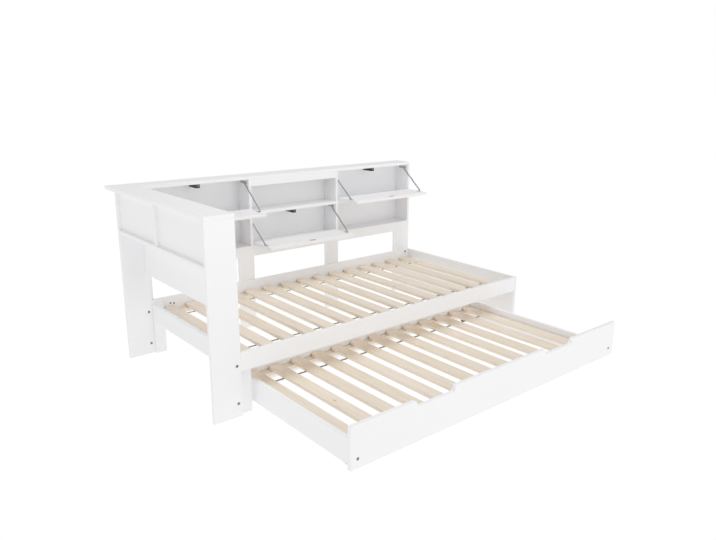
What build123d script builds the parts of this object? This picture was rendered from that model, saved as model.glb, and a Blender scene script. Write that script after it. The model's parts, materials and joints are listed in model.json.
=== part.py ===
from build123d import *
import os
from math import atan2, degrees, hypot

os.makedirs("parts", exist_ok=True)

# A daybed for a single mattress, with a shelved head end, a bookcase along the wall side
# and a trundle that rolls out at the front. X runs from the head to the foot, Y from the
# front to the wall and Z up from the floor. The origin is on the floor, at the middle of
# the whole piece with the trundle pulled out.

# Overall sizes in millimetres
length = 2080.0
total_depth = 1103.0
bed_depth = 968.0
height = 919.0

# Boards and small clearances
board = 18.0
back_board = 6.0
edge_ease = 0.8
hand_gap = 1.0

# Head end
head_width = 142.0
head_cell_floor = 707.0
head_back_recess = 18.0
head_divider_front = 484.0
headboard_bottom = 452.0

# Bed base
rail_bottom = 213.0
rail_top = 300.0
slat_top = 250.0
end_rail_bottom = 182.0
corner_leg_top = 282.0
corner_leg_reach = 59.0
front_leg_lap = 41.0
cleat_lap = 44.0
cleat_foot = 20.0

# Slats and the ledgers and straps that carry and space them
slat_width = 62.0
slat_thickness = 18.0
slat_pitch = 126.0
slat_round = 3.0
first_slat_gap = 5.0
ledger = 18.0
strap_width = 20.0
strap_thickness = 1.5
bed_strap_inset = 169.0
bed_rear_strap_inset = 124.0

# Bookcase
column_dividers = (640.0, 1280.0)
shelf_top = 709.0
cabinet_floor_top = 505.0
cabinet_bottom = 442.0
top_fascia_height = 41.0
back_recess = 6.0
bookcase_leg_centres = (750.0, 1389.0)
bookcase_leg_width = 102.0
foot_leg_width = 138.0

# Doors and their hinges
door_side_gap = 2.0
door_top_gap = 2.0
hinge_rise = 1.0
hinge_reach = 3.0
knuckle_radius = 2.7
hinge_pin_radius = 1.2
running_gap = 0.05
leaf_thickness = 0.9
hinge_length = 50.0
hinge_inset = 70.0
knuckle_count = 5
knuckle_gap = 0.2

# Folding stays, measured from the hinge pin of their door
stay_top_back = 55.0
stay_top_rise = 170.0
stay_foot_depth = 29.0
stay_foot_rise = 120.0
upper_link_length = 132.0
link_width = 11.0
link_thickness = 1.5
layer_gap = 0.3
stay_pin_radius = 2.0
rivet_radius = 3.6
rivet_height = 0.9
wall_plate_length = 72.0
wall_plate_width = 15.0
wall_plate_shift = 5.0
plate_screw_inset = 7.0
screw_head_radius = 3.2
screw_head_height = 1.0
foot_plate_length = 34.0
foot_plate_width = 14.0

# Magnetic catches and the plates that they hold
catch_length = 46.0
catch_flange = 70.0
catch_flange_thickness = 3.0
catch_depth = 28.0
catch_height = 22.0
catch_gap = 0.3
strike_length = 40.0
strike_width = 22.0
strike_thickness = 1.0
strike_rise = 170.0

# Trundle
trundle_out = 648.0
trundle_left = 221.0
trundle_box_length = 1661.0
trundle_box_depth = 906.0
trundle_front_bottom = 8.0
trundle_front_top = 196.0
trundle_side_bottom = 30.0
trundle_side_top = 143.0
trundle_slat_top = 110.0
grip_width = 224.0
grip_depth = 28.0
grip_from_left = 464.0
grip_from_right = 522.0
caster_rail_width = 36.0
trundle_strap_insets = (48.0, 693.0)
end_block_size = 38.0
end_block_depth = 36.0
end_block_inset = 22.0
end_block_bottom = 30.0

# Casters
wheel_radius = 17.0
wheel_width = 16.0
wheel_round = 2.5
hub_radius = 9.0
hub_recess = 2.0
axle_radius = 3.0
caster_rise = 4.0
caster_plate = 2.0
caster_plate_length = 44.0
caster_plate_width = 32.0
fork_cheek = 1.5
fork_gap = 0.6
caster_inset = 46.0

# Bolts
bolt_head_radius = 7.0
bolt_head_height = 2.6
bolt_radius = 3.0
bolt_hole_gap = 0.3
socket_radius = 2.4
socket_depth = 1.4
bolt_from_edge = 20.0
front_bolt_heights = (243.0, 64.0)
rear_bolt_heights = (238.0, 58.0)
rail_bolt_height = 285.0
rail_bolt_inset = 45.0
trundle_bolt_height = 50.0
trundle_bolt_depth = 28.0

# Main planes
head_x = -length / 2
foot_x = length / 2
front_y = (trundle_out + board + bolt_head_height - total_depth) / 2
wall_y = front_y + total_depth
bed_back_y = front_y + bed_depth
under_top = height - board
head_inner_x = head_x + head_width
foot_inner_x = foot_x - board
front_inner_y = front_y + board
rear_inner_y = bed_back_y - board
slat_seat = slat_top - slat_thickness


def add_board(x_span, y_span, z_span, ease=edge_ease):
    """Add a board with eased edges between the given pairs of faces."""
    with BuildSketch(Plane.XY.offset(z_span[0])) as outline:
        with Locations((sum(x_span) / 2, sum(y_span) / 2)):
            Rectangle(x_span[1] - x_span[0], y_span[1] - y_span[0])
    extrude(to_extrude=outline.sketch, amount=z_span[1] - z_span[0])
    if ease:
        chamfer(edges(Select.LAST), length=ease)


def add_slats(first_x, count, y_span, top):
    """Add a row of slats that lie across the bed, with rounded long edges."""
    for index in range(count):
        slat_x = first_x + index * slat_pitch
        with BuildSketch(Plane.XZ.offset(-y_span[0])) as section:
            with Locations((slat_x + slat_width / 2, top - slat_thickness / 2)):
                RectangleRounded(slat_width, slat_thickness, slat_round)
        extrude(to_extrude=section.sketch, amount=y_span[0] - y_span[1])


def add_strap(x_span, y_middle, top):
    """Add a flat webbing strap that runs under a row of slats."""
    half = strap_width / 2
    add_board(x_span, (y_middle - half, y_middle + half), (top - strap_thickness, top), ease=0)


def add_bolt(x, head_y, z, grip, nut=True):
    """Add a bolt along Y: domed head, shank and, unless it ends in wood, a domed nut."""
    section_plane = Plane(origin=(x, head_y, z), x_dir=(0, 1, 0), z_dir=(1, 0, 0))
    dome_radius = (bolt_head_radius**2 + bolt_head_height**2) / (2 * bolt_head_height)
    far_end = grip + bolt_head_height if nut else grip
    with BuildSketch(section_plane) as section:
        with BuildLine():
            RadiusArc((-bolt_head_height, 0), (0, bolt_head_radius), dome_radius)
            Polyline((0, bolt_head_radius), (0, bolt_radius), (grip, bolt_radius))
            if nut:
                Line((grip, bolt_radius), (grip, bolt_head_radius))
                RadiusArc((grip, bolt_head_radius), (far_end, 0), dome_radius)
            else:
                Line((grip, bolt_radius), (grip, 0))
            Line((far_end, 0), (-bolt_head_height, 0))
        make_face()
    revolve(section.sketch, axis=Axis((x, head_y, z), (0, 1, 0)))
    with BuildSketch(Plane.XZ.offset(bolt_head_height - head_y)) as socket:
        with Locations((x, z)):
            RegularPolygon(socket_radius, 6)
    extrude(to_extrude=socket.sketch, amount=-socket_depth, mode=Mode.SUBTRACT)


def drill_bolt(x, z, y_span):
    """Drill the clearance hole for a bolt along Y."""
    with BuildSketch(Plane.XZ.offset(-y_span[0])) as hole:
        with Locations((x, z)):
            Circle(bolt_radius + bolt_hole_gap)
    extrude(to_extrude=hole.sketch, amount=y_span[0] - y_span[1], mode=Mode.SUBTRACT)


def add_rod(x, length_x, y, z, radius):
    """Add a round bar along X."""
    with BuildSketch(Plane.YZ.offset(x)) as section:
        with Locations((y, z)):
            Circle(radius)
    extrude(to_extrude=section.sketch, amount=length_x)


def write_piece(piece, name):
    """Name a finished piece and write its file."""
    piece.part.label = name
    export_step(piece.part, f"parts/{name}.step")


# Head end: two posts that stand on the floor, with the shelf cells between their tops
head_span = (head_x, head_inner_x)
post_bolt_x = head_inner_x - bolt_from_edge
front_leg_y = (front_inner_y, front_inner_y + board)
cleat_y = (bed_back_y, bed_back_y + board)

with BuildPart() as front_post:
    add_board(head_span, (front_y, front_inner_y), (0, under_top))
    for bolt_z in front_bolt_heights:
        drill_bolt(post_bolt_x, bolt_z, (front_y, front_inner_y))
write_piece(front_post, "front_post")

with BuildPart() as rear_post:
    add_board(head_span, (rear_inner_y, bed_back_y), (0, under_top))
    for bolt_z in rear_bolt_heights:
        drill_bolt(post_bolt_x, bolt_z, (rear_inner_y, bed_back_y))
write_piece(rear_post, "rear_post")

with BuildPart() as head_top_board:
    add_board(head_span, (front_y, wall_y), (under_top, height))
write_piece(head_top_board, "head_top_board")

with BuildPart() as head_shelf:
    add_board(head_span, (front_inner_y, rear_inner_y), (head_cell_floor - board, head_cell_floor))
write_piece(head_shelf, "head_shelf")

divider_y = (front_y + head_divider_front, front_y + head_divider_front + board)
with BuildPart() as head_divider:
    add_board(head_span, divider_y, (head_cell_floor, under_top))
write_piece(head_divider, "head_divider")

# Each cell has its own thin back panel, set in from the outer face
head_panel_x = (head_x + head_back_recess, head_x + head_back_recess + back_board)
with BuildPart() as head_back_panels:
    add_board(head_panel_x, (front_inner_y, divider_y[0]), (head_cell_floor, under_top), ease=0)
    add_board(head_panel_x, (divider_y[1], rear_inner_y), (head_cell_floor, under_top), ease=0)
write_piece(head_back_panels, "head_back_panels")

with BuildPart() as headboard_panel:
    add_board(
        (head_inner_x - board, head_inner_x),
        (front_inner_y, rear_inner_y),
        (headboard_bottom, head_cell_floor - board),
    )
write_piece(headboard_panel, "headboard_panel")

with BuildPart() as head_end_rail:
    add_board(
        (head_inner_x, head_inner_x + board),
        (front_inner_y + board, rear_inner_y - board),
        (end_rail_bottom, corner_leg_top),
    )
write_piece(head_end_rail, "head_end_rail")

# Corner legs: the front one laps behind the post and the rail, the rear one stands inside the rail
leg_end_x = head_inner_x + corner_leg_reach
with BuildPart() as corner_legs:
    add_board((head_inner_x - front_leg_lap, leg_end_x), front_leg_y, (0, corner_leg_top))
    for bolt_z in front_bolt_heights:
        drill_bolt(post_bolt_x, bolt_z, front_leg_y)
    add_board((head_inner_x, leg_end_x), (rear_inner_y - board, rear_inner_y), (0, corner_leg_top))
write_piece(corner_legs, "corner_legs")

with BuildPart() as rear_post_cleat:
    add_board((head_inner_x - cleat_lap, head_inner_x), cleat_y, (cleat_foot, corner_leg_top))
    for bolt_z in rear_bolt_heights:
        drill_bolt(post_bolt_x, bolt_z, cleat_y)
write_piece(rear_post_cleat, "rear_post_cleat")

# Bed base
rail_span = (head_inner_x, foot_inner_x)
rail_bolt_x = foot_x - rail_bolt_inset
with BuildPart() as front_rail:
    add_board(rail_span, (front_y, front_inner_y), (rail_bottom, rail_top))
write_piece(front_rail, "front_rail")

with BuildPart() as rear_rail:
    add_board(rail_span, (rear_inner_y, bed_back_y), (rail_bottom, rail_top))
    drill_bolt(rail_bolt_x, rail_bolt_height, (rear_inner_y, bed_back_y))
write_piece(rear_rail, "rear_rail")

with BuildPart() as foot_panel:
    add_board((foot_inner_x, foot_x), (front_y, bed_back_y), (0, rail_top))
write_piece(foot_panel, "foot_panel")

ledger_span = (leg_end_x, foot_inner_x)
with BuildPart() as slat_ledgers:
    add_board(ledger_span, (front_inner_y, front_inner_y + ledger), (slat_seat - ledger, slat_seat))
    add_board(ledger_span, (rear_inner_y - ledger, rear_inner_y), (slat_seat - ledger, slat_seat))
write_piece(slat_ledgers, "slat_ledgers")

slat_count = int((foot_inner_x - leg_end_x - first_slat_gap - slat_width) // slat_pitch) + 1
first_slat_x = leg_end_x + first_slat_gap
last_slat_x = first_slat_x + (slat_count - 1) * slat_pitch + slat_width
with BuildPart() as bed_slats:
    add_slats(first_slat_x, slat_count, (front_inner_y + hand_gap, rear_inner_y - hand_gap), slat_top)
write_piece(bed_slats, "bed_slats")

with BuildPart() as slat_webbing:
    for strap_y in (front_inner_y + bed_strap_inset, rear_inner_y - bed_rear_strap_inset):
        add_strap((first_slat_x, last_slat_x), strap_y, slat_seat)
write_piece(slat_webbing, "slat_webbing")

# Bookcase on the wall side, from the head end's inner face to the foot
case_front_y = bed_back_y
case_back_y = wall_y - back_recess
inner_back_y = case_back_y - back_board
case_left_x = head_inner_x + board
case_right_x = foot_x - board
divider_left_edges = [head_inner_x + offset for offset in column_dividers]
column_edges = [case_left_x]
for divider_x in divider_left_edges:
    column_edges += [divider_x, divider_x + board]
column_edges.append(case_right_x)
columns = list(zip(column_edges[0::2], column_edges[1::2]))

with BuildPart() as bookcase_top:
    add_board((head_inner_x, foot_x), (case_front_y, wall_y), (under_top, height))
write_piece(bookcase_top, "bookcase_top")

with BuildPart() as bookcase_left_end:
    add_board((head_inner_x, case_left_x), (case_front_y, wall_y), (0, under_top))
write_piece(bookcase_left_end, "bookcase_left_end")

with BuildPart() as bookcase_right_end:
    add_board((case_right_x, foot_x), (case_front_y, wall_y), (cabinet_bottom, under_top))
write_piece(bookcase_right_end, "bookcase_right_end")

with BuildPart() as bookcase_dividers:
    for divider_x in divider_left_edges:
        add_board((divider_x, divider_x + board), (case_front_y, inner_back_y), (cabinet_floor_top, under_top))
write_piece(bookcase_dividers, "bookcase_dividers")

with BuildPart() as bookcase_floor:
    add_board(
        (case_left_x, case_right_x),
        (case_front_y + board, inner_back_y),
        (cabinet_floor_top - board, cabinet_floor_top),
    )
write_piece(bookcase_floor, "bookcase_floor")

with BuildPart() as bottom_fascia:
    add_board((case_left_x, case_right_x), (case_front_y, case_front_y + board), (cabinet_bottom, cabinet_floor_top))
write_piece(bottom_fascia, "bottom_fascia")

with BuildPart() as top_fascia:
    add_board(columns[1], (case_front_y, case_front_y + board), (under_top - top_fascia_height, under_top))
write_piece(top_fascia, "top_fascia")

with BuildPart() as bookcase_shelves:
    for column in columns:
        add_board(column, (case_front_y, inner_back_y), (shelf_top - board, shelf_top))
write_piece(bookcase_shelves, "bookcase_shelves")

with BuildPart() as bookcase_back:
    add_board(
        (case_left_x, case_right_x),
        (inner_back_y, case_back_y),
        (cabinet_floor_top - board, under_top),
        ease=0,
    )
write_piece(bookcase_back, "bookcase_back")

with BuildPart() as bookcase_legs:
    for leg_x in bookcase_leg_centres:
        left_x = head_x + leg_x - bookcase_leg_width / 2
        add_board((left_x, left_x + bookcase_leg_width), (case_front_y, case_front_y + board), (0, cabinet_bottom))
    add_board((foot_x - foot_leg_width, foot_x), (case_front_y, case_front_y + board), (0, cabinet_bottom))
    drill_bolt(rail_bolt_x, rail_bolt_height, (case_front_y, case_front_y + board))
write_piece(bookcase_legs, "bookcase_legs")

with BuildPart() as frame_bolts:
    for bolt_z in front_bolt_heights:
        add_bolt(post_bolt_x, front_y, bolt_z, 2 * board)
    for bolt_z in rear_bolt_heights:
        add_bolt(post_bolt_x, rear_inner_y, bolt_z, 2 * board)
    add_bolt(rail_bolt_x, rear_inner_y, rail_bolt_height, 2 * board)
write_piece(frame_bolts, "frame_bolts")

# Doors: two above and one below, each hinged at its foot and folded down level
hinge_y = case_front_y - hinge_reach
upper_opening = (shelf_top, under_top)
lower_opening = (cabinet_floor_top, shelf_top - board)
doors = {
    "top_left_door": (columns[0], upper_opening),
    "bottom_middle_door": (columns[1], lower_opening),
    "top_right_door": (columns[2], upper_opening),
}
knuckle_length = hinge_length / knuckle_count


def hinge_starts(column):
    """Give the X where each of a door's two hinges begins."""
    return (column[0] + hinge_inset, column[1] - hinge_inset - hinge_length)


def leaf_span(pin_place):
    """Give the two faces of a leaf, which lies just short of the hinge pin's centre."""
    return (pin_place - hinge_rise, pin_place - hinge_rise + leaf_thickness)


def add_leaf(start_x, hinge_z, first_knuckle):
    """Add the cabinet's leaf of a butt hinge, or the door's, which starts at the second knuckle."""
    on_cabinet = first_knuckle == 0
    for index in range(first_knuckle, knuckle_count, 2):
        knuckle_x = start_x + index * knuckle_length + knuckle_gap / 2
        tongue_x = (knuckle_x, knuckle_x + knuckle_length - knuckle_gap)
        add_rod(knuckle_x, knuckle_length - knuckle_gap, hinge_y, hinge_z, knuckle_radius)
        if on_cabinet:
            add_board(tongue_x, (hinge_y, hinge_y + hinge_reach), leaf_span(hinge_z), ease=0)
        else:
            add_board(tongue_x, leaf_span(hinge_y), (hinge_z, hinge_z + hinge_reach), ease=0)
    plate_x = (start_x, start_x + hinge_length)
    leaf_end = hinge_reach + board
    if on_cabinet:
        add_board(plate_x, (hinge_y + hinge_reach, hinge_y + leaf_end), leaf_span(hinge_z), ease=0)
    else:
        add_board(plate_x, leaf_span(hinge_y), (hinge_z + hinge_reach, hinge_z + leaf_end), ease=0)
    with BuildSketch(Plane.YZ.offset(start_x)) as bore:
        with Locations((hinge_y, hinge_z)):
            Circle(hinge_pin_radius + running_gap)
    extrude(to_extrude=bore.sketch, amount=hinge_length, mode=Mode.SUBTRACT)


with BuildPart() as hinge_leaves:
    for column, opening in doors.values():
        for start_x in hinge_starts(column):
            add_leaf(start_x, opening[0] + hinge_rise, 0)
    for column, opening in doors.values():
        for start_x in hinge_starts(column):
            add_rod(start_x, hinge_length, hinge_y, opening[0] + hinge_rise, hinge_pin_radius)
write_piece(hinge_leaves, "hinge_leaves")

# Magnetic catches under the top of each door's opening
with BuildPart() as magnetic_catches:
    for column, opening in doors.values():
        catch_x = sum(column) / 2
        catch_y = case_front_y + board + strike_thickness + catch_gap
        flange_z = opening[1] - catch_flange_thickness
        with BuildSketch(Plane.XY.offset(flange_z)) as flange:
            with Locations((catch_x, catch_y + catch_depth / 2)):
                SlotOverall(catch_flange, catch_depth * 0.6)
        extrude(to_extrude=flange.sketch, amount=catch_flange_thickness)
        with BuildSketch(Plane.XZ.offset(-catch_y)) as housing:
            with Locations((catch_x, opening[1] - catch_height / 2)):
                RectangleRounded(catch_length, catch_height, 2)
        extrude(to_extrude=housing.sketch, amount=-catch_depth)
write_piece(magnetic_catches, "magnetic_catches")

# Folding stays, two for each door, in layers that start at the side wall
layer = link_thickness + layer_gap
open_run = stay_top_back + stay_foot_rise
open_drop = stay_top_rise - stay_foot_depth
lower_link_length = hypot(open_run, open_drop) - upper_link_length
open_angle = degrees(atan2(open_drop, open_run))


def stay_points(hinge_z):
    """Give the Y and Z of the stay's top pivot, elbow and foot pivot with the door open."""
    top = Vector(hinge_y + stay_top_back, hinge_z + stay_top_rise)
    foot = Vector(hinge_y - stay_foot_rise, hinge_z + stay_foot_depth)
    elbow = top + (foot - top) * (upper_link_length / (upper_link_length + lower_link_length))
    return top, elbow, foot


def stay_sides(column):
    """Give each side wall's X and the direction from it into the opening."""
    return ((column[0], 1), (column[1], -1))


def add_disc(x, thickness, centre, radius):
    """Add a disc or pin that faces along X, centred on a point in Y and Z."""
    add_rod(x, thickness, centre.X, centre.Y, radius)


def add_link(x, thickness, start, end, pivot):
    """Add a flat link with round ends, drilled at its pivot."""
    with BuildSketch(Plane.YZ.offset(x)) as outline:
        with Locations(((start.X + end.X) / 2, (start.Y + end.Y) / 2)):
            SlotCenterToCenter((end - start).length, link_width, rotation=open_angle)
        with Locations((pivot.X, pivot.Y)):
            Circle(stay_pin_radius + running_gap, mode=Mode.SUBTRACT)
    extrude(to_extrude=outline.sketch, amount=thickness)


with BuildPart() as stay_wall_plates:
    for column, opening in doors.values():
        top, elbow, foot = stay_points(opening[0] + hinge_rise)
        plate_middle = top + Vector(wall_plate_shift, 0)
        screw_offset = Vector(wall_plate_length / 2 - plate_screw_inset, 0)
        for wall_x, side in stay_sides(column):
            with BuildSketch(Plane.YZ.offset(wall_x)) as plate:
                with Locations((plate_middle.X, plate_middle.Y)):
                    SlotOverall(wall_plate_length, wall_plate_width)
            extrude(to_extrude=plate.sketch, amount=side * link_thickness)
            face_x = wall_x + side * link_thickness
            for screw in (plate_middle - screw_offset, plate_middle + screw_offset):
                add_disc(face_x, side * screw_head_height, screw, screw_head_radius)
            add_disc(face_x, side * (layer + layer_gap), top, stay_pin_radius)
            add_disc(face_x + side * (layer + layer_gap), side * rivet_height, top, rivet_radius)
write_piece(stay_wall_plates, "stay_wall_plates")

for name, (column, opening) in doors.items():
    hinge_z = opening[0] + hinge_rise
    door_middle_x = sum(column) / 2
    door_reach = opening[1] - door_top_gap - hinge_z
    door_face_z = hinge_z + hinge_reach + board
    top, elbow, foot = stay_points(hinge_z)

    with BuildPart() as door:
        add_board(
            (column[0] + door_side_gap, column[1] - door_side_gap),
            (hinge_y - door_reach, hinge_y - hinge_rise),
            (hinge_z + hinge_reach, door_face_z),
        )
    write_piece(door, name)

    with BuildPart() as fittings:
        for start_x in hinge_starts(column):
            add_leaf(start_x, hinge_z, 1)
        with BuildSketch(Plane.XY.offset(door_face_z)) as strike:
            with Locations((door_middle_x, hinge_y - strike_rise)):
                RectangleRounded(strike_length, strike_width, 3)
        extrude(to_extrude=strike.sketch, amount=strike_thickness)
        for wall_x, side in stay_sides(column):
            lug_x = wall_x + side * 3 * layer
            foot_middle_x = lug_x + side * foot_plate_width / 2
            with BuildSketch(Plane.XY.offset(door_face_z)) as foot_plate:
                with Locations((foot_middle_x, foot.X)):
                    Rectangle(foot_plate_width, foot_plate_length)
            extrude(to_extrude=foot_plate.sketch, amount=link_thickness)
            for screw_y in (foot.X - foot_plate_length / 3, foot.X + foot_plate_length / 3):
                with BuildSketch(Plane.XY.offset(door_face_z + link_thickness)) as screw_head:
                    with Locations((foot_middle_x + side * link_thickness / 2, screw_y)):
                        Circle(screw_head_radius)
                extrude(to_extrude=screw_head.sketch, amount=screw_head_height)
            with BuildSketch(Plane.YZ.offset(lug_x)) as lug:
                with Locations((foot.X, foot.Y)):
                    Circle(link_width / 2)
                with Locations((foot.X, (foot.Y + door_face_z) / 2)):
                    Rectangle(link_width, foot.Y - door_face_z)
            extrude(to_extrude=lug.sketch, amount=side * link_thickness)
            add_disc(lug_x, -side * (layer + layer_gap), foot, stay_pin_radius)
            add_disc(lug_x - side * (layer + layer_gap), -side * rivet_height, foot, rivet_radius)
    write_piece(fittings, f"{name}_fittings")

    with BuildPart() as upper_links:
        for wall_x, side in stay_sides(column):
            link_x = wall_x + side * layer
            add_link(link_x, side * link_thickness, top, elbow, top)
            add_disc(link_x, -side * rivet_height, elbow, rivet_radius)
    write_piece(upper_links, f"{name}_upper_links")

    with BuildPart() as lower_links:
        for wall_x, side in stay_sides(column):
            link_x = wall_x + side * 2 * layer
            add_link(link_x, side * link_thickness, elbow, foot, foot)
            add_disc(link_x + side * link_thickness, side * rivet_height, elbow, rivet_radius)
    write_piece(lower_links, f"{name}_lower_links")

# Trundle: a slatted box behind a front panel, on four casters
panel_face_y = front_y - trundle_out - board
box_front_y = panel_face_y + board
box_back_y = box_front_y + trundle_box_depth
box_left_x = head_x + trundle_left
box_right_x = box_left_x + trundle_box_length
inner_left_x = box_left_x + board
inner_right_x = box_right_x - board
trundle_seat = trundle_slat_top - slat_thickness
caster_mount = 2 * wheel_radius + caster_rise + caster_plate
rail_left_span = (inner_left_x, inner_left_x + caster_rail_width)
rail_right_span = (inner_right_x - caster_rail_width, inner_right_x)
left_bolt_x = sum(rail_left_span) / 2
end_block_x = (foot_x - end_block_inset - end_block_size, foot_x - end_block_inset)
right_bolt_x = sum(end_block_x) / 2
bolt_hole_y = (box_front_y, box_front_y + trundle_bolt_depth + hand_gap)
side_heights = (trundle_side_bottom, trundle_side_top)

with BuildPart() as trundle_front:
    panel_middle_z = (trundle_front_bottom + trundle_front_top) / 2
    grip_centres = (box_left_x + grip_from_left, foot_x - grip_from_right)
    with BuildSketch(Plane.XZ.offset(-box_front_y)) as panel:
        with Locations(((box_left_x + foot_x) / 2, panel_middle_z)):
            Rectangle(foot_x - box_left_x, trundle_front_top - trundle_front_bottom)
        for grip_x in grip_centres:
            with Locations((grip_x, trundle_front_top - grip_depth / 2)):
                Rectangle(grip_width, grip_depth, mode=Mode.SUBTRACT)
        grip_corners = [
            corner for corner in vertices() if min(abs(corner.X - grip_x) for grip_x in grip_centres) < grip_width
        ]
        fillet(grip_corners, grip_depth / 2)
    extrude(to_extrude=panel.sketch, amount=board)
    for bolt_x in (left_bolt_x, right_bolt_x):
        drill_bolt(bolt_x, trundle_bolt_height, (panel_face_y, box_front_y))
write_piece(trundle_front, "trundle_front")

with BuildPart() as trundle_left_side:
    add_board((box_left_x, inner_left_x), (box_front_y, box_back_y), side_heights)
write_piece(trundle_left_side, "trundle_left_side")

with BuildPart() as trundle_right_side:
    add_board((inner_right_x, box_right_x), (box_front_y, box_back_y), side_heights)
write_piece(trundle_right_side, "trundle_right_side")

with BuildPart() as trundle_back:
    add_board((box_left_x, box_right_x), (box_back_y, box_back_y + board), side_heights)
write_piece(trundle_back, "trundle_back")

with BuildPart() as caster_rails:
    for rail_span_x in (rail_left_span, rail_right_span):
        add_board(rail_span_x, (box_front_y, box_back_y), (caster_mount, trundle_seat))
    drill_bolt(left_bolt_x, trundle_bolt_height, bolt_hole_y)
write_piece(caster_rails, "caster_rails")

with BuildPart() as trundle_ledgers:
    between_rails = (rail_left_span[1], rail_right_span[0])
    for ledger_y in (box_front_y, box_back_y - ledger):
        add_board(between_rails, (ledger_y, ledger_y + ledger), (trundle_seat - ledger, trundle_seat))
write_piece(trundle_ledgers, "trundle_ledgers")

with BuildPart() as trundle_end_block:
    add_board(end_block_x, (box_front_y, box_front_y + end_block_depth), (end_block_bottom, trundle_slat_top))
    drill_bolt(right_bolt_x, trundle_bolt_height, bolt_hole_y)
write_piece(trundle_end_block, "trundle_end_block")

trundle_clear = inner_right_x - inner_left_x
trundle_slat_count = int((trundle_clear - slat_width) // slat_pitch) + 1
trundle_slats_length = (trundle_slat_count - 1) * slat_pitch + slat_width
trundle_first_slat_x = inner_left_x + (trundle_clear - trundle_slats_length) / 2
with BuildPart() as trundle_slats:
    slat_span_y = (box_front_y + hand_gap, box_back_y - hand_gap)
    add_slats(trundle_first_slat_x, trundle_slat_count, slat_span_y, trundle_slat_top)
write_piece(trundle_slats, "trundle_slats")

with BuildPart() as trundle_webbing:
    for inset in trundle_strap_insets:
        strap_x = (between_rails[0] + hand_gap, between_rails[1] - hand_gap)
        add_strap(strap_x, box_front_y + inset, trundle_seat)
write_piece(trundle_webbing, "trundle_webbing")

with BuildPart() as trundle_bolts:
    for bolt_x in (left_bolt_x, right_bolt_x):
        add_bolt(bolt_x, panel_face_y, trundle_bolt_height, board + trundle_bolt_depth, nut=False)
write_piece(trundle_bolts, "trundle_bolts")

# Casters: a pressed fork with a riveted axle, and a plastic wheel that runs on it
caster_places = {
    "caster_wheel_front_left": (sum(rail_left_span) / 2, box_front_y + caster_inset),
    "caster_wheel_front_right": (sum(rail_right_span) / 2, box_front_y + caster_inset),
    "caster_wheel_back_left": (sum(rail_left_span) / 2, box_back_y - caster_inset),
    "caster_wheel_back_right": (sum(rail_right_span) / 2, box_back_y - caster_inset),
}
cheek_inner = wheel_width / 2 + fork_gap
with BuildPart() as caster_forks:
    for caster_x, caster_y in caster_places.values():
        with BuildSketch(Plane.XY.offset(caster_mount - caster_plate)) as plate:
            with Locations((caster_x, caster_y)):
                RectangleRounded(caster_plate_width, caster_plate_length, 3)
        extrude(to_extrude=plate.sketch, amount=caster_plate)
        for side in (-1, 1):
            with BuildSketch(Plane.YZ.offset(caster_x + side * cheek_inner)) as cheek:
                with Locations((caster_y, wheel_radius)):
                    Circle(2 * axle_radius)
                with Locations((caster_y, caster_mount - caster_plate - fork_cheek / 2)):
                    Rectangle(wheel_radius * 1.6, fork_cheek)
                make_hull()
            extrude(to_extrude=cheek.sketch, amount=side * fork_cheek)
        axle_reach = cheek_inner + fork_cheek + hand_gap
        add_rod(caster_x - axle_reach, 2 * axle_reach, caster_y, wheel_radius, axle_radius)
write_piece(caster_forks, "caster_forks")

for name, (caster_x, caster_y) in caster_places.items():
    wheel_plane = Plane(origin=(caster_x, caster_y, wheel_radius), x_dir=(1, 0, 0), z_dir=(0, -1, 0))
    with BuildPart() as wheel:
        with BuildSketch(wheel_plane) as section:
            half_width = wheel_width / 2
            with BuildLine():
                Polyline(
                    (-half_width, axle_radius + running_gap),
                    (-half_width, hub_radius - hub_recess),
                    (hub_recess - half_width, hub_radius),
                    (hub_recess - half_width, wheel_radius - 2 * hub_recess),
                    (-half_width, wheel_radius - 2 * hub_recess),
                    (-half_width, wheel_radius - wheel_round),
                )
                RadiusArc(
                    (-half_width, wheel_radius - wheel_round),
                    (wheel_round - half_width, wheel_radius),
                    wheel_round,
                )
                Line((wheel_round - half_width, wheel_radius), (0, wheel_radius))
                Line((0, wheel_radius), (0, axle_radius + running_gap))
                Line((0, axle_radius + running_gap), (-half_width, axle_radius + running_gap))
            make_face()
            mirror(about=Plane.YZ)
        revolve(section.sketch, axis=Axis((caster_x, caster_y, wheel_radius), (1, 0, 0)))
    write_piece(wheel, name)
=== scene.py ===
# A white daybed with a shelved head end, a bookcase along the wall side and a slatted trundle
# that rolls out at the front. The sections follow the order in which the real one is put
# together. Lengths are in metres and names say what the real pieces are.

import bmesh
import bpy
import json
from math import pi, radians
from mathutils import Matrix, Vector


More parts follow.
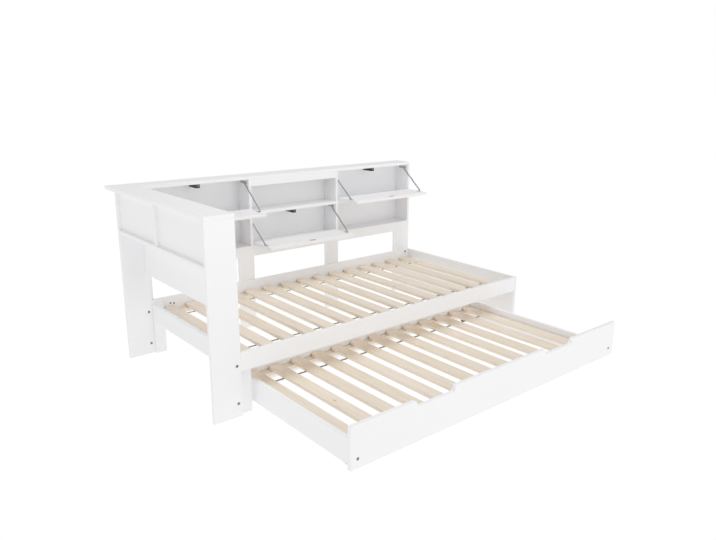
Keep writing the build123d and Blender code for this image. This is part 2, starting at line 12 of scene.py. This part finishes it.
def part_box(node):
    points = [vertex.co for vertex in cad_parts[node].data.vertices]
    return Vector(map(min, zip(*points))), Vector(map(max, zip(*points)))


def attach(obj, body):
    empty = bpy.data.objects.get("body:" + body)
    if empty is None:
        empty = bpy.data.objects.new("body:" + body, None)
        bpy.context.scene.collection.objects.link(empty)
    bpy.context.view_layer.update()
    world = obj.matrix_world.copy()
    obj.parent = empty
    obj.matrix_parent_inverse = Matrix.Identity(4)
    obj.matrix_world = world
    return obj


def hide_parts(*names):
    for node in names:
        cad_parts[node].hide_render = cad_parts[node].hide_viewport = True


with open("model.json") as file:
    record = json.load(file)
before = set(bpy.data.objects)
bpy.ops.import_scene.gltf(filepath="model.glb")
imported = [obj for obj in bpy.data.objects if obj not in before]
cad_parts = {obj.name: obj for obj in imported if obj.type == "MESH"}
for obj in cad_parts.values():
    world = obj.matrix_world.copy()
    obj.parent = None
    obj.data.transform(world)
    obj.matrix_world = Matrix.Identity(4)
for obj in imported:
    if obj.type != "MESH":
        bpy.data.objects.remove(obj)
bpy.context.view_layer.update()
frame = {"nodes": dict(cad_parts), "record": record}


# Photographer's place: the camera stands a little above head height at the head end's front
# corner and looks down along the bed. The picture keeps its plain tones, with no film look.
CAMERA_PLACE = (-2.2341, -2.6225, 1.4258)
CAMERA_TURN = radians(39.75)
CAMERA_TILT = radians(15.43)
CAMERA_ROLL = radians(0.33)
LENS_MM = 33.459
SENSOR_MM = 36.0

lens = bpy.data.cameras.new("camera")
lens.sensor_fit = "HORIZONTAL"
lens.sensor_width = SENSOR_MM
lens.lens = LENS_MM
lens.clip_end = 300
camera = bpy.data.objects.new("camera", lens)
camera.matrix_world = (
    Matrix.Translation(CAMERA_PLACE)
    @ Matrix.Rotation(-CAMERA_TURN, 4, "Z")
    @ Matrix.Rotation(pi / 2 - CAMERA_TILT, 4, "X")
    @ Matrix.Rotation(CAMERA_ROLL, 4, "Z")
)
bpy.context.scene.collection.objects.link(camera)
bpy.context.scene.camera = camera
bpy.context.scene.view_settings.view_transform = "Standard"


def linear_colour(hex_code):
    """Turn an sRGB hex colour into the linear one that a shader takes."""
    channels = [int(hex_code[start:start + 2], 16) / 255 for start in (0, 2, 4)]
    return (*[c / 12.92 if c <= 0.04045 else ((c + 0.055) / 1.055) ** 2.4 for c in channels], 1.0)


def add_node(tree, kind, inputs=None, **settings):
    """Add a shader node, set its properties, and fill its inputs with values or other outputs."""
    added = tree.nodes.new("ShaderNode" + kind)
    for name, value in settings.items():
        setattr(added, name, value)
    for name, value in (inputs or {}).items():
        if isinstance(value, bpy.types.NodeSocket):
            tree.links.new(value, added.inputs[name])
        else:
            added.inputs[name].default_value = value
    return added


# Studio floor: a white sweep, lit from below as well as above, as furniture is photographed
# for a catalogue, so that hardly any shadow falls on it.
FLOOR_SIZE = 200.0
FLOOR_COLOUR = "ffffff"
FLOOR_GLOW = 0.93
FLOOR_DIFFUSE = "4f4f4f"

floor_mesh = bpy.data.meshes.new("studio_floor")
shape = bmesh.new()
bmesh.ops.create_grid(shape, x_segments=1, y_segments=1, size=FLOOR_SIZE / 2)
shape.to_mesh(floor_mesh)
shape.free()
floor = bpy.data.objects.new("studio_floor", floor_mesh)
bpy.context.scene.collection.objects.link(floor)
floor_paint = bpy.data.materials.new("white_studio_sweep")
floor_paint.use_nodes = True
tree = floor_paint.node_tree
tree.nodes.clear()
matt = add_node(tree, "BsdfPrincipled", {
    "Base Color": linear_colour(FLOOR_DIFFUSE),
    "Roughness": 0.9,
    "Emission Color": linear_colour(FLOOR_COLOUR),
    "Emission Strength": FLOOR_GLOW,
})
add_node(tree, "OutputMaterial", {"Surface": matt.outputs["BSDF"]})
floor_mesh.materials.append(floor_paint)


# Studio light: a white room, with one large softbox above, one at the front that reaches into
# the bookcase and one at the head end. The camera sees the room's wall as plain white.
ROOM_COLOUR = "ffffff"
ROOM_STRENGTH = 0.55
WALL_STRENGTH = 1.0
SOFTBOXES = {
    "top_softbox": ((-0.1, -0.9, 4.4), (0.0, 0.2, 0.3), 4.0, 72.0),
    "front_softbox": ((0.9, -5.6, 1.3), (0.2, 0.4, 0.6), 3.6, 46.0),
    "head_softbox": ((-5.2, -1.2, 1.6), (0.0, 0.0, 0.4), 3.2, 22.0),
}

room = bpy.data.worlds.new("studio_room")
room.use_nodes = True
tree = room.node_tree
tree.nodes.clear()
ray = add_node(tree, "LightPath")
strength = add_node(tree, "MapRange", {
    "Value": ray.outputs["Is Camera Ray"], "To Min": ROOM_STRENGTH, "To Max": WALL_STRENGTH,
})
wall = add_node(tree, "Background", {
    "Color": linear_colour(ROOM_COLOUR), "Strength": strength.outputs["Result"],
})
add_node(tree, "OutputWorld", {"Surface": wall.outputs["Background"]})
bpy.context.scene.world = room
for name, (place, aim, size, watts) in SOFTBOXES.items():
    box_light = bpy.data.lights.new(name, "AREA")
    box_light.shape = "SQUARE"
    box_light.size = size
    box_light.energy = watts
    lamp = bpy.data.objects.new(name, box_light)
    facing = (Vector(aim) - Vector(place)).to_track_quat("-Z", "Y")
    lamp.matrix_world = Matrix.Translation(place) @ facing.to_matrix().to_4x4()
    bpy.context.scene.collection.objects.link(lamp)


# Boards: particle board faced with white melamine, with a satin face and banded, slightly
# eased edges. The facing has a faint pressed texture, and its arrises rub a little grey.
BOARD_WHITE = "f9f9fa"
BOARD_CLOUD = "f7f7f8"
BOARD_RUBBED = "d9d8d5"
CLOUD_WIDTH = 0.45
PRESSED_GRIT = 0.0009
ARRIS_WIDTH = 0.0012

white_board = bpy.data.materials.new("white_melamine_faced_board")
white_board.use_nodes = True
tree = white_board.node_tree
tree.nodes.clear()
place = add_node(tree, "TexCoord")
cloud = add_node(tree, "TexNoise", {
    "Vector": place.outputs["Object"], "Scale": 1 / CLOUD_WIDTH, "Detail": 2.0,
})
facing = add_node(tree, "Mix", {
    0: cloud.outputs["Fac"], 6: linear_colour(BOARD_WHITE), 7: linear_colour(BOARD_CLOUD),
}, data_type="RGBA")
arris = add_node(tree, "Bevel", {"Radius": ARRIS_WIDTH}, samples=4)
true_face = add_node(tree, "NewGeometry")
turn = add_node(tree, "VectorMath", {0: arris.outputs["Normal"], 1: true_face.outputs["True Normal"]},
                operation="DOT_PRODUCT")
rubbed = add_node(tree, "MapRange", {
    "Value": turn.outputs["Value"], "From Min": 0.995, "From Max": 0.9, "To Max": 0.55,
})
patchy = add_node(tree, "TexNoise", {"Vector": place.outputs["Object"], "Scale": 60.0, "Detail": 3.0})
rub_here = add_node(tree, "Math", {0: rubbed.outputs["Result"], 1: patchy.outputs["Fac"]},
                    operation="MULTIPLY")
colour = add_node(tree, "Mix", {
    0: rub_here.outputs["Value"], 6: facing.outputs[2], 7: linear_colour(BOARD_RUBBED),
}, data_type="RGBA")
gloss = add_node(tree, "MapRange", {"Value": cloud.outputs["Fac"], "To Min": 0.42, "To Max": 0.5})
grit = add_node(tree, "TexNoise", {
    "Vector": place.outputs["Object"], "Scale": 1 / PRESSED_GRIT, "Detail": 1.0,
})
pressed = add_node(tree, "Bump", {"Height": grit.outputs["Fac"], "Strength": 0.06, "Distance": 0.0002})
face = add_node(tree, "BsdfPrincipled", {
    "Base Color": colour.outputs[2],
    "Roughness": gloss.outputs["Result"],
    "IOR": 1.46,
    "Normal": pressed.outputs["Normal"],
})
add_node(tree, "OutputMaterial", {"Surface": face.outputs["BSDF"]})

slot_nodes = {}
for subpart in frame["record"]["subparts"]:
    slot_nodes.setdefault(subpart["material_slot"], []).append(subpart["node"])


def dress(names, material):
    """Give CAD nodes a finish through their material slots."""
    for name in names:
        for slot in frame["nodes"][name].material_slots:
            slot.material = material


dress(slot_nodes["white_board"], white_board)


# Slats: planed bare softwood with rounded ends and long edges. The grain runs along each slat,
# each is cut from another place in the plank, and a few have small knots. They lie loose on
# their ledgers, 15 in the bed and 13 in the trundle.
SLAT_LIGHT = "f3e8da"
SLAT_DARK = "e6d8c4"
KNOT_BROWN = "b08a63"
GRAIN_WIDTH = 0.006
ALONG_GRAIN = 0.03
SLAT_WIDTH = 0.065
SLAT_THICKNESS = 0.018
SLAT_END_ROUND = 0.017
SLAT_END_STEPS = 5
SLAT_EDGE_ROUND = 0.0028
LEVEL_FACE = 0.9
SLAT_ROWS = {
    "bed_slat_row": ("bed_slats", "frame", 15, -0.772, 0.126, (-0.1982, 0.7300)),
    "trundle_slat_row": ("trundle_slats", "trundle", 13, -0.713, 0.1276, (-0.8640, -0.0345)),
}


def pine_material(name, first_x, pitch, stretch):
    """Make planed pine whose grain runs along the stretched axis and jumps from slat to slat."""
    pine = bpy.data.materials.new(name)
    pine.use_nodes = True
    tree = pine.node_tree
    tree.nodes.clear()
    place = add_node(tree, "TexCoord")
    split = add_node(tree, "SeparateXYZ", {0: place.outputs["Object"]})
    from_first = add_node(tree, "Math", {0: split.outputs["X"], 1: first_x}, operation="SUBTRACT")
    counted = add_node(tree, "Math", {0: from_first.outputs["Value"], 1: pitch}, operation="DIVIDE")
    slat_number = add_node(tree, "Math", {0: counted.outputs["Value"]}, operation="FLOOR")
    own = add_node(tree, "TexWhiteNoise", {"W": slat_number.outputs["Value"]}, noise_dimensions="1D")
    shifted = add_node(tree, "VectorMath", {0: own.outputs["Color"], 1: (3.0, 7.0, 2.0)},
                       operation="MULTIPLY")
    cut = add_node(tree, "VectorMath", {0: place.outputs["Object"], 1: shifted.outputs["Vector"]},
                   operation="ADD")
    along = add_node(tree, "VectorMath", {0: cut.outputs["Vector"], 1: stretch}, operation="MULTIPLY")
    sway = add_node(tree, "TexNoise", {"Vector": along.outputs["Vector"], "Scale": 14.0, "Detail": 2.0})
    sway_by = add_node(tree, "VectorMath", {0: sway.outputs["Color"], 1: (0.03, 0.03, 0.03)},
                       operation="MULTIPLY")
    swayed = add_node(tree, "VectorMath", {0: along.outputs["Vector"], 1: sway_by.outputs["Vector"]},
                      operation="ADD")
    rings = add_node(tree, "TexNoise", {
        "Vector": swayed.outputs["Vector"], "Scale": 1 / GRAIN_WIDTH, "Detail": 4.0, "Roughness": 0.55,
    })
    ring_mask = add_node(tree, "MapRange", {
        "Value": rings.outputs["Fac"], "From Min": 0.35, "From Max": 0.72,
    })
    slat_tone = add_node(tree, "MapRange", {"Value": own.outputs["Value"], "To Min": -0.22, "To Max": 0.22})
    mixed = add_node(tree, "Math", {0: ring_mask.outputs["Result"], 1: slat_tone.outputs["Result"]},
                     operation="ADD", use_clamp=True)
    wood = add_node(tree, "Mix", {
        0: mixed.outputs["Value"], 6: linear_colour(SLAT_LIGHT), 7: linear_colour(SLAT_DARK),
    }, data_type="RGBA")
    knot_space = add_node(tree, "VectorMath", {0: cut.outputs["Vector"], 1: (1.0, 0.55, 1.0)},
                          operation="MULTIPLY")
    knots = add_node(tree, "TexVoronoi", {
        "Vector": knot_space.outputs["Vector"], "Scale": 4.5, "Randomness": 1.0,
    })
    knot_mask = add_node(tree, "MapRange", {
        "Value": knots.outputs["Distance"], "From Min": 0.045, "From Max": 0.015, "To Max": 0.5,
    })
    coloured = add_node(tree, "Mix", {
        0: knot_mask.outputs["Result"], 6: wood.outputs[2], 7: linear_colour(KNOT_BROWN),
    }, data_type="RGBA")
    rough = add_node(tree, "MapRange", {
        "Value": ring_mask.outputs["Result"], "To Min": 0.62, "To Max": 0.72,
    })
    ridge = add_node(tree, "Bump", {
        "Height": ring_mask.outputs["Result"], "Strength": 0.15, "Distance": 0.0003,
    })
    planed = add_node(tree, "BsdfPrincipled", {
        "Base Color": coloured.outputs[2],
        "Roughness": rough.outputs["Result"],
        "IOR": 1.5,
        "Normal": ridge.outputs["Normal"],
    })
    add_node(tree, "OutputMaterial", {"Surface": planed.outputs["BSDF"]})
    return pine


def add_block(shape, low, high):
    """Add a square block between two corners."""
    made = bmesh.ops.create_cube(shape, size=1.0)["verts"]
    bmesh.ops.scale(shape, vec=[b - a for a, b in zip(low, high)], verts=made)
    bmesh.ops.translate(shape, vec=[(a + b) / 2 for a, b in zip(low, high)], verts=made)


def round_edges(shape, sides, radius, steps=2):
    """Round the given edges."""
    bmesh.ops.bevel(
        shape, geom=sides, offset=radius, affect="EDGES", segments=steps, profile=0.5, material=-1,
    )


def place_piece(name, shape, material, body, slot, *stands_for):
    """Turn a finished shape into a piece that moves with a body and may stand for CAD nodes."""
    bmesh.ops.recalc_face_normals(shape, faces=shape.faces)
    mesh = bpy.data.meshes.new(name)
    shape.to_mesh(mesh)
    shape.free()
    mesh.materials.append(material)
    piece = bpy.data.objects.new(name, mesh)
    bpy.context.scene.collection.objects.link(piece)
    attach(piece, body)
    if stands_for:
        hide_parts(*stands_for)


slat_underside = {}
for name, (node, body, count, first_right_x, pitch, y_span) in SLAT_ROWS.items():
    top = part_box(node)[1].z
    slat_underside[body] = top - SLAT_THICKNESS
    shape = bmesh.new()
    add_block(
        shape,
        (first_right_x - SLAT_WIDTH, y_span[0], slat_underside[body]),
        (first_right_x, y_span[1], top),
    )
    uprights = [
        side for side in shape.edges
        if abs(side.verts[0].co.z - side.verts[1].co.z) > SLAT_THICKNESS / 2
    ]
    round_edges(shape, uprights, SLAT_END_ROUND, SLAT_END_STEPS)
    shape.normal_update()
    rims = [
        side for side in shape.edges
        if any(abs(face.normal.z) > LEVEL_FACE for face in side.link_faces)
    ]
    round_edges(shape, rims, SLAT_EDGE_ROUND)
    first_slat = shape.verts[:] + shape.edges[:] + shape.faces[:]
    for number in range(1, count):
        copied = bmesh.ops.duplicate(shape, geom=first_slat)["geom"]
        corners = [item for item in copied if isinstance(item, bmesh.types.BMVert)]
        bmesh.ops.translate(shape, vec=(number * pitch, 0, 0), verts=corners)
    gap_middle = first_right_x - SLAT_WIDTH - (pitch - SLAT_WIDTH) / 2
    pine = pine_material(f"planed_pine_{name}", gap_middle, pitch, (1.0, ALONG_GRAIN, 1.0))
    place_piece(name, shape, pine, body, "pine", node)


# Ledgers: broad battens of the same pine, screwed to the inside of the rails, that the slats'
# ends rest on. Their grain runs along the bed.
LEDGER_THICKNESS = 0.018
LEDGER_EASE = 0.0015
BATTEN_RUN = (-9.0, 18.0)
LEDGERS = {
    "bed_ledgers": ("slat_ledgers", "frame", ((-0.1992, -0.1472), (0.6788, 0.7328))),
    "trundle_battens": ("trundle_ledgers", "trundle", ((-0.8652, -0.8152), (-0.0732, -0.0340))),
}

batten_pine = pine_material("planed_pine_battens", *BATTEN_RUN, (ALONG_GRAIN, 1.0, 1.0))
for name, (node, body, y_spans) in LEDGERS.items():
    low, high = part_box(node)
    top = slat_underside[body]
    shape = bmesh.new()
    for y_span in y_spans:
        add_block(shape, (low.x, y_span[0], top - LEDGER_THICKNESS), (high.x, y_span[1], top))
    round_edges(shape, shape.edges[:], LEDGER_EASE)
    place_piece(name, shape, batten_pine, body, "pine", node)


# Trundle cross board: the slats end against this white board, a little in front of the
# trundle's back. It is notched over the two rails that carry the casters.
CROSS_BOARD_Y = (-0.0335, -0.0155)
CROSS_BOARD_LAP = 0.0015
CROSS_BOARD_EASE = 0.0008

rails_low, rails_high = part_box("caster_rails")
between_low, between_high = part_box("trundle_ledgers")
side_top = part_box("trundle_left_side")[1].z
shape = bmesh.new()
add_block(
    shape,
    (rails_low.x, CROSS_BOARD_Y[0], rails_high.z),
    (rails_high.x, CROSS_BOARD_Y[1], side_top),
)
round_edges(shape, shape.edges[:], CROSS_BOARD_EASE)
add_block(
    shape,
    (between_low.x, CROSS_BOARD_Y[0], rails_low.z),
    (between_high.x, CROSS_BOARD_Y[1], rails_high.z + CROSS_BOARD_LAP),
)
place_piece("trundle_cross_board", shape, white_board, "trundle", "white_board")


# Slat webbing: two narrow grey-brown polypropylene straps under each row of slats, in a plain
# weave. The threads are drawn 1.6 mm apart, coarser than real ones, so that they show.
STRAP_DARK = "857d72"
STRAP_LIGHT = "aaa296"
THREAD = 0.0016
STRAP_HALF_WIDTH = 0.0065
STRAP_THICKNESS = 0.0014
STRAP_EASE = 0.0005
STRAPS = {
    "bed_straps": ("slat_webbing", "frame", (-0.837, 0.992), (-0.0302, 0.6088)),
    "trundle_straps": ("trundle_webbing", "trundle", (-0.764, 0.787), (-0.8052, -0.1722)),
}

webbing = bpy.data.materials.new("woven_polypropylene_strap")
webbing.use_nodes = True
tree = webbing.node_tree
tree.nodes.clear()
place = add_node(tree, "TexCoord")
warp = add_node(tree, "TexWave", {"Vector": place.outputs["Object"], "Scale": pi / THREAD / 10},
                bands_direction="X", wave_profile="SIN")
weft = add_node(tree, "TexWave", {"Vector": place.outputs["Object"], "Scale": pi / THREAD / 10},
                bands_direction="Y", wave_profile="SIN")
woven = add_node(tree, "Math", {0: warp.outputs["Fac"], 1: weft.outputs["Fac"]}, operation="MULTIPLY")
colour = add_node(tree, "Mix", {
    0: woven.outputs["Value"], 6: linear_colour(STRAP_DARK), 7: linear_colour(STRAP_LIGHT),
}, data_type="RGBA")
threads = add_node(tree, "Bump", {"Height": woven.outputs["Value"], "Strength": 0.6, "Distance": 0.0004})
cloth = add_node(tree, "BsdfPrincipled", {
    "Base Color": colour.outputs[2],
    "Roughness": 0.75,
    "Sheen Weight": 0.2,
    "Normal": threads.outputs["Normal"],
})
add_node(tree, "OutputMaterial", {"Surface": cloth.outputs["BSDF"]})
for name, (node, body, x_span, strap_ys) in STRAPS.items():
    top = slat_underside[body]
    shape = bmesh.new()
    for strap_y in strap_ys:
        add_block(
            shape,
            (x_span[0], strap_y - STRAP_HALF_WIDTH, top - STRAP_THICKNESS),
            (x_span[1], strap_y + STRAP_HALF_WIDTH, top),
        )
    round_edges(shape, shape.edges[:], STRAP_EASE, steps=1)
    place_piece(name, shape, webbing, body, "webbing", node)


# Stays and hinges: pressed mild steel strip with bright zinc plating, faintly streaked along
# the rolling direction.
ZINC = "cbccce"
ZINC_DULL = "aaacaf"

zinc = bpy.data.materials.new("bright_zinc_plated_steel")
zinc.use_nodes = True
tree = zinc.node_tree
tree.nodes.clear()
place = add_node(tree, "TexCoord")
rolled = add_node(tree, "VectorMath", {0: place.outputs["Object"], 1: (60.0, 900.0, 900.0)},
                  operation="MULTIPLY")
streaks = add_node(tree, "TexNoise", {"Vector": rolled.outputs["Vector"], "Scale": 1.0, "Detail": 2.0})
colour = add_node(tree, "Mix", {
    0: streaks.outputs["Fac"], 6: linear_colour(ZINC), 7: linear_colour(ZINC_DULL),
}, data_type="RGBA")
rough = add_node(tree, "MapRange", {"Value": streaks.outputs["Fac"], "To Min": 0.28, "To Max": 0.45})
plated = add_node(tree, "BsdfPrincipled", {
    "Base Color": colour.outputs[2],
    "Metallic": 1.0,
    "Roughness": rough.outputs["Result"],
})
add_node(tree, "OutputMaterial", {"Surface": plated.outputs["BSDF"]})
dress(slot_nodes["steel"], zinc)


# Bolts: dome-headed furniture bolts with a hexagon socket, blackened and oiled.
BOLT_BLACK = "77787c"
BOLT_WORN = "96979a"

blackened = bpy.data.materials.new("blackened_bolt_steel")
blackened.use_nodes = True
tree = blackened.node_tree
tree.nodes.clear()
place = add_node(tree, "TexCoord")
speckle = add_node(tree, "TexNoise", {"Vector": place.outputs["Object"], "Scale": 700.0, "Detail": 3.0})
colour = add_node(tree, "Mix", {
    0: speckle.outputs["Fac"], 6: linear_colour(BOLT_BLACK), 7: linear_colour(BOLT_WORN),
}, data_type="RGBA")
rough = add_node(tree, "MapRange", {"Value": speckle.outputs["Fac"], "To Min": 0.35, "To Max": 0.5})
oiled = add_node(tree, "BsdfPrincipled", {
    "Base Color": colour.outputs[2],
    "Metallic": 0.9,
    "Roughness": rough.outputs["Result"],
})
add_node(tree, "OutputMaterial", {"Surface": oiled.outputs["BSDF"]})
dress(slot_nodes["dark_bolts"], blackened)


# Caster wheels: moulded black nylon with a fine spark-eroded texture, which the door catches
# share.
PLASTIC_BLACK = "1d1d1e"
PLASTIC_GREY = "262627"

moulded = bpy.data.materials.new("moulded_black_nylon")
moulded.use_nodes = True
tree = moulded.node_tree
tree.nodes.clear()
place = add_node(tree, "TexCoord")
spark = add_node(tree, "TexNoise", {"Vector": place.outputs["Object"], "Scale": 1600.0, "Detail": 2.0})
colour = add_node(tree, "Mix", {
    0: spark.outputs["Fac"], 6: linear_colour(PLASTIC_BLACK), 7: linear_colour(PLASTIC_GREY),
}, data_type="RGBA")
rough = add_node(tree, "MapRange", {"Value": spark.outputs["Fac"], "To Min": 0.42, "To Max": 0.55})
texture = add_node(tree, "Bump", {"Height": spark.outputs["Fac"], "Strength": 0.25, "Distance": 0.0002})
nylon = add_node(tree, "BsdfPrincipled", {
    "Base Color": colour.outputs[2],
    "Roughness": rough.outputs["Result"],
    "IOR": 1.53,
    "Normal": texture.outputs["Normal"],
})
add_node(tree, "OutputMaterial", {"Surface": nylon.outputs["BSDF"]})
CASTER_CORNERS = ("front_left", "front_right", "back_left", "back_right")
dress([f"caster_wheel_{corner}" for corner in CASTER_CORNERS], moulded)


# Door catches: a long black magnetic catch hangs under the top of each door's cell, square to
# the door, with a thin foot across it for its two screws.
CATCH_HUNG_FROM = {
    "top_left_door": "bookcase_top",
    "bottom_middle_door": "bookcase_shelves",
    "top_right_door": "bookcase_top",
}
CATCH_LENGTH = 0.088
CATCH_HALF_WIDTH = 0.012
CATCH_HEIGHT = 0.024
CATCH_ROUND = 0.001
CATCH_FOOT = (0.021, 0.008, 0.003)
CATCH_FOOT_Y = 0.812

catch_face_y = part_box("magnetic_catches")[0].y
catch_places = []
for door_name, board in CATCH_HUNG_FROM.items():
    low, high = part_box(door_name)
    catch_places.append(((low.x + high.x) / 2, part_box(board)[0].z))
shape = bmesh.new()
for catch_x, cell_top in catch_places:
    add_block(
        shape,
        (catch_x - CATCH_HALF_WIDTH, catch_face_y, cell_top - CATCH_HEIGHT),
        (catch_x + CATCH_HALF_WIDTH, catch_face_y + CATCH_LENGTH, cell_top),
    )
    add_block(
        shape,
        (catch_x - CATCH_FOOT[0], CATCH_FOOT_Y - CATCH_FOOT[1], cell_top - CATCH_FOOT[2]),
        (catch_x + CATCH_FOOT[0], CATCH_FOOT_Y + CATCH_FOOT[1], cell_top),
    )
round_edges(shape, shape.edges[:], CATCH_ROUND)
place_piece("door_catches", shape, moulded, "frame", "black_plastic", "magnetic_catches")


# Hinge screws: two small countersunk cross-head screws hold each hinge leaf to the shelf that
# its door folds down from. Their heads lie all but flush, so that the closed leaf clears them.
HINGE_INSET = 0.070
HINGE_LENGTH = 0.050
HINGE_SCREW_SPREAD = 0.015
HINGE_SCREW_RADIUS = 0.0026
DOOR_SIDE_GAP = 0.002
LEAF_THICKNESS = 0.0009
HINGED_TO = {
    "top_left_door": "bookcase_shelves",
    "bottom_middle_door": "bookcase_floor",
    "top_right_door": "bookcase_shelves",
}
LEAF_MIDDLE_Y = 0.7598
HEAD_SIDES = 16
HEAD_RIM = (0.03, 0.9)
HEAD_CROWN = (0.01, 0.72)
RECESS_WAIST = 0.42
RECESS_SINK = (-0.3, 0.7)


def draw_cap(shape, cap, rise, narrow):
    """Extrude a cap along Z, narrow it about the axis and return the new cap."""
    raised = bmesh.ops.extrude_face_region(shape, geom=[cap])["geom"]
    new_cap = next(item for item in raised if isinstance(item, bmesh.types.BMFace))
    bmesh.ops.scale(shape, vec=(narrow, narrow, 1), verts=list(new_cap.verts))
    bmesh.ops.translate(shape, vec=(0, 0, rise), verts=list(new_cap.verts))
    return new_cap


def add_screw(shape, place, direction, radius):
    """Add a screw head with a domed rim and a four-pointed driver recess."""
    earlier = set(shape.verts)
    bmesh.ops.create_circle(shape, cap_ends=True, segments=HEAD_SIDES, radius=radius)
    made = [corner for corner in shape.verts if corner not in earlier]
    rim = draw_cap(shape, made[0].link_faces[0], radius * HEAD_RIM[0], HEAD_RIM[1])
    crown = draw_cap(shape, rim, radius * HEAD_CROWN[0], HEAD_CROWN[1])
    for number, corner in enumerate(crown.verts):
        if number % 4:
            corner.co.xy *= RECESS_WAIST
    draw_cap(shape, crown, radius * RECESS_SINK[0], RECESS_SINK[1])
    made = [corner for corner in shape.verts if corner not in earlier]
    turn = Vector(direction).to_track_quat("Z", "Y").to_matrix().to_4x4()
    bmesh.ops.transform(shape, matrix=Matrix.Translation(place) @ turn, verts=made)


shape = bmesh.new()
for door_name, board in HINGED_TO.items():
    low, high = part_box(door_name)
    leaf_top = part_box(board)[1].z + LEAF_THICKNESS
    first_middle = low.x - DOOR_SIDE_GAP + HINGE_INSET + HINGE_LENGTH / 2
    last_middle = high.x + DOOR_SIDE_GAP - HINGE_INSET - HINGE_LENGTH / 2
    for leaf_middle in (first_middle, last_middle):
        for side in (-1, 1):
            head_place = (leaf_middle + side * HINGE_SCREW_SPREAD, LEAF_MIDDLE_Y, leaf_top)
            add_screw(shape, head_place, (0, 0, 1), HINGE_SCREW_RADIUS)
place_piece("hinge_screws", shape, zinc, "frame", "steel")


# Catch poles: the edges of two steel plates show in the tip of each catch and grip the strike
# plate on the door. A screw on each side holds the catch's foot up.
POLE_HALF_WIDTH = 0.0075
POLE_THICKNESS = 0.0018
POLE_DROPS = (0.0055, 0.0125)
POLE_PROUD = 0.00015
POLE_DEPTH = 0.004
FOOT_SCREW_SPREAD = 0.0155
FOOT_SCREW_RADIUS = 0.0026

shape = bmesh.new()
for catch_x, cell_top in catch_places:
    for drop in POLE_DROPS:
        add_block(
            shape,
            (catch_x - POLE_HALF_WIDTH, catch_face_y - POLE_PROUD, cell_top - drop - POLE_THICKNESS),
            (catch_x + POLE_HALF_WIDTH, catch_face_y + POLE_DEPTH, cell_top - drop),
        )
    for side in (-1, 1):
        head_place = (catch_x + side * FOOT_SCREW_SPREAD, CATCH_FOOT_Y, cell_top - CATCH_FOOT[2])
        add_screw(shape, head_place, (0, 0, -1), FOOT_SCREW_RADIUS)
place_piece("catch_poles", shape, zinc, "frame", "steel")


# Corner nuts: the blackened sleeve nuts of the joint bolts show on the inner face of the wall
# side rail by the head end, and one on the inner face of the foot panel.
NUT_RADIUS = 0.0055
NUTS = (
    ((-0.7924, 0.7328, 0.2633), (0, -1, 0)),
    ((-0.7721, 0.7328, 0.2591), (0, -1, 0)),
    ((1.022, 0.0493, 0.0496), (-1, 0, 0)),
)

shape = bmesh.new()
for nut_place, direction in NUTS:
    add_screw(shape, nut_place, direction, NUT_RADIUS)
place_piece("corner_nuts", shape, blackened, "frame", "dark_bolts")


# Staples: one wire staple holds each slat to each strap, driven up through the strap, so that
# only its crown shows from below.
STAPLE_HALF_LENGTH = 0.005
STAPLE_HALF_WIRE = 0.0006
STAPLE_EASE = 0.0002
STAPLED_ROWS = {
    "bed_staples": ("bed_slat_row", "bed_straps"),
    "trundle_staples": ("trundle_slat_row", "trundle_straps"),
}

for name, (slat_row, strap_pair) in STAPLED_ROWS.items():
    body, count, first_right_x, pitch = SLAT_ROWS[slat_row][1:5]
    strap_ys = STRAPS[strap_pair][3]
    crown_top = slat_underside[body] - STRAP_THICKNESS
    shape = bmesh.new()
    for strap_y in strap_ys:
        for number in range(count):
            slat_x = first_right_x - SLAT_WIDTH / 2 + number * pitch
            add_block(
                shape,
                (slat_x - STAPLE_HALF_WIRE, strap_y - STAPLE_HALF_LENGTH, crown_top - STAPLE_HALF_WIRE),
                (slat_x + STAPLE_HALF_WIRE, strap_y + STAPLE_HALF_LENGTH, crown_top),
            )
    round_edges(shape, shape.edges[:], STAPLE_EASE, steps=1)
    place_piece(name, shape, zinc, body, "steel")


# Caster screws: four pan-head screws through the corners of each caster's plate, seen from
# under the trundle.
CASTER_SCREW_OFFSET = (0.0125, 0.0182)
CASTER_PLATE_UNDERSIDE = 0.038
CASTER_SCREW_RADIUS = 0.0024

shape = bmesh.new()
for corner in CASTER_CORNERS:
    low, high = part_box(f"caster_wheel_{corner}")
    for x_side in (-1, 1):
        for y_side in (-1, 1):
            screw_x = (low.x + high.x) / 2 + x_side * CASTER_SCREW_OFFSET[0]
            screw_y = (low.y + high.y) / 2 + y_side * CASTER_SCREW_OFFSET[1]
            add_screw(shape, (screw_x, screw_y, CASTER_PLATE_UNDERSIDE), (0, 0, -1), CASTER_SCREW_RADIUS)
place_piece("caster_screws", shape, zinc, "trundle", "steel")
